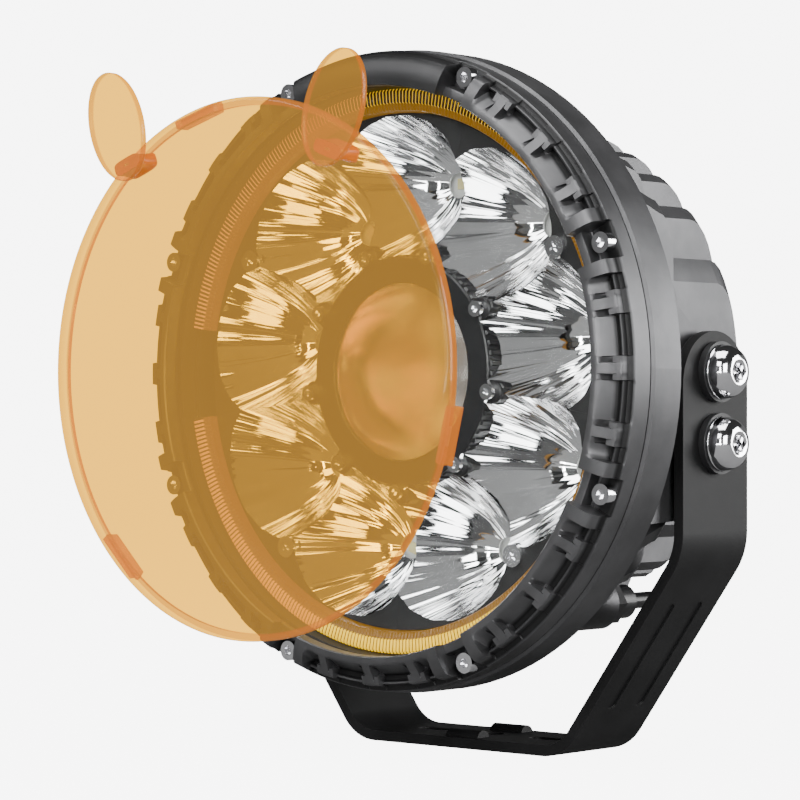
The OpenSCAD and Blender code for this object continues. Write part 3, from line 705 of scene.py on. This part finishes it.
def makeBolt(node):
    # a dome r = r0 + (R - r0) cos t, x = lip + (h - lip) sin t, with a six-sided socket of radius
    # s cos 30 / cos(p mod 60 - 30) sunk into it, along X
    size = boltSize
    low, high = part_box(node)
    side = 1 if high.x > 0 else -1
    outer = max(abs(low.x), abs(high.x)) / mm
    inner = min(abs(low.x), abs(high.x)) / mm
    seat = outer - size["height"]
    lap = np.radians(np.arange(0, 360, 3.0))
    hexagon = size["socket"] * np.cos(np.pi / 6) / np.cos((lap % (np.pi / 3)) - np.pi / 6)
    rise, floor, flat, lip = size["height"], size["height"] - size["socketDepth"], size["flat"], size["lip"]
    dome, head, shank, tip = size["head"] - 0.15, size["head"], size["shank"], inner - seat
    rows = [(0, floor - 0.8), (hexagon * 0.9, floor), (hexagon, floor + 0.3), (hexagon, rise - 0.35),
            (flat - 0.2, rise - 0.02)]
    for t in np.radians(np.linspace(84, 0, 12)):
        rows.append((flat + (dome - flat) * np.cos(t), lip + (rise - lip) * np.sin(t)))
    rows += [(head, lip - 0.2), (head, 0.4), (head - 0.4, 0), (shank, 0), (shank, tip + 0.5),
             (shank - 0.5, tip), (0, tip)]
    radius = np.stack([row[0] + 0 * lap for row in rows])
    along = np.array([row[1] for row in rows])[:, None] + seat + 0 * radius
    middle = (low + high) / 2
    grid = np.stack([side * along * mm, middle.y + radius * np.cos(lap) * mm,
                     middle.z + radius * np.sin(lap) * mm], -1)
    makePiece(node + "_turned", [(grid, False, True)], looks["chrome_bolt"], "lamp",
              [node], sharp=35)


for node in ("pivot_bolt_left", "pivot_bolt_right", "lock_bolt_left", "lock_bolt_right"):
    makeBolt(node)
print("bolts done")


def paperLook(name):
    # white studio paper, lit from behind so that it stays white behind the lamp, and less bright
    # behind tinted plastic, which would otherwise wash out
    look = Look(name, (0.9, 0.9, 0.9))
    seen = look.node("ShaderNodeLightPath", output="Is Camera Ray")
    paper = look.node("ShaderNodeBsdfDiffuse", None, {"Color": rgb(0.16)})
    soft = look.node("ShaderNodeEmission", None, {"Color": rgb(1.0), "Strength": lightSize["paperGlow"]})
    depth = look.node("ShaderNodeLightPath", output="Transparent Depth")
    bare = 1 - depth.calc("MINIMUM", 1.0)
    full = look.node("ShaderNodeEmission", None, {"Color": rgb(1.0), "Strength": lightSize["paperWhite"]})
    dimmed = look.node("ShaderNodeEmission", None, {"Color": rgb(1.0), "Strength": lightSize["paperDimmed"]})
    white = look.node("ShaderNodeMixShader", None, {0: bare, 1: dimmed, 2: full})
    glow = look.node("ShaderNodeMixShader", None, {0: seen * lightSize["paperShare"], 1: soft, 2: white})
    return look.finish(look.node("ShaderNodeAddShader", None, {0: paper, 1: glow}))


floorSize = {"flat": 2.6, "curve": 1.0, "wall": 1.5, "below": 0.0002}   # metres


def makeFloor():
    # a round floor that curves up into a low wall: radius r + c sin t, height c (1 - cos t)
    size = floorSize
    turn = np.radians(np.linspace(0, 88, 16))
    level = np.linspace(0, size["flat"], 8)[:-1]
    edge = size["flat"] + size["curve"]
    out = np.concatenate([level, size["flat"] + size["curve"] * np.sin(turn), [edge + 0.01]])
    up = np.concatenate([0 * level, size["curve"] * (1 - np.cos(turn)), [size["wall"]]])
    lap = np.radians(np.arange(0, 360, 3.0))[:, None]
    grid = np.stack([out * np.cos(lap), out * np.sin(lap), up + 0 * lap - size["below"]], -1)
    rows, columns = grid.shape[:2]
    mesh = bpy.data.meshes.new("floor")
    faces = gridFaces(rows, columns, True, False, 0)
    mesh.from_pydata(grid.reshape(-1, 3).tolist(), [], faces.tolist())
    tidyMesh(mesh, 60)
    mesh.materials.append(paperLook("floorPaper"))
    floor = bpy.data.objects.new("floor", mesh)
    bpy.context.scene.collection.objects.link(floor)


lightSize = {"paperGlow": 0.06, "paperWhite": 8.0, "paperDimmed": 3.8, "paperShare": 0.9, "world": 0.04,
             "boxes": {"frontHigh": ((0.3, -2.1, 1.5), 1.9, 0.8, 46.0),
                       "stripRight": ((1.1, -1.9, 0.1), 0.16, 1.6, 20.0),
                       "stripLow": ((0.5, -1.9, 0.05), 1.6, 0.1, 8.0),
                       "rearRight": ((1.5, 1.35, 0.55), 0.9, 1.1, 42.0),
                       "frontLeft": ((-1.3, -1.6, 1.5), 0.9, 0.9, 24.0),
                       "frontRight": ((2.1, -1.1, 0.7), 1.1, 1.3, 56.0),
                       "overhead": ((0.2, -0.4, 2.1), 1.5, 1.3, 44.0)}}


def addLights():
    # soft boxes that all face the middle of the lamp, each as (place, width, height, watts)
    aim = Vector((0, -0.02, 0.13))
    for name, (place, width, height, power) in lightSize["boxes"].items():
        data = bpy.data.lights.new(name, "AREA")
        data.shape, data.size, data.size_y, data.energy = "RECTANGLE", width, height, power
        lamp = bpy.data.objects.new(name, data)
        lamp.location = place
        lamp.rotation_euler = (aim - Vector(place)).to_track_quat("-Z", "Y").to_euler()
        bpy.context.scene.collection.objects.link(lamp)
    world = bpy.data.worlds.new("studio")
    world.use_nodes = True
    sky = world.node_tree.nodes["Background"]
    sky.inputs["Color"].default_value = rgb(1.0)
    sky.inputs["Strength"].default_value = lightSize["world"]
    bpy.context.scene.world = world


cameraSize = {"place": (704.66, -847.54, 119.61), "target": (12.21, -62.7, 124.06), "lens": 137.1}


def addCamera():
    data = bpy.data.cameras.new("camera")
    data.lens, data.sensor_width, data.clip_start = cameraSize["lens"], 36.0, 0.05
    camera = bpy.data.objects.new("camera", data)
    camera.location = Vector(cameraSize["place"]) * mm
    target = Vector(cameraSize["target"]) * mm
    camera.rotation_euler = (target - camera.location).to_track_quat("-Z", "Y").to_euler()
    bpy.context.scene.collection.objects.link(camera)
    bpy.context.scene.camera = camera


makeFloor()
addLights()
addCamera()
print("stage done")
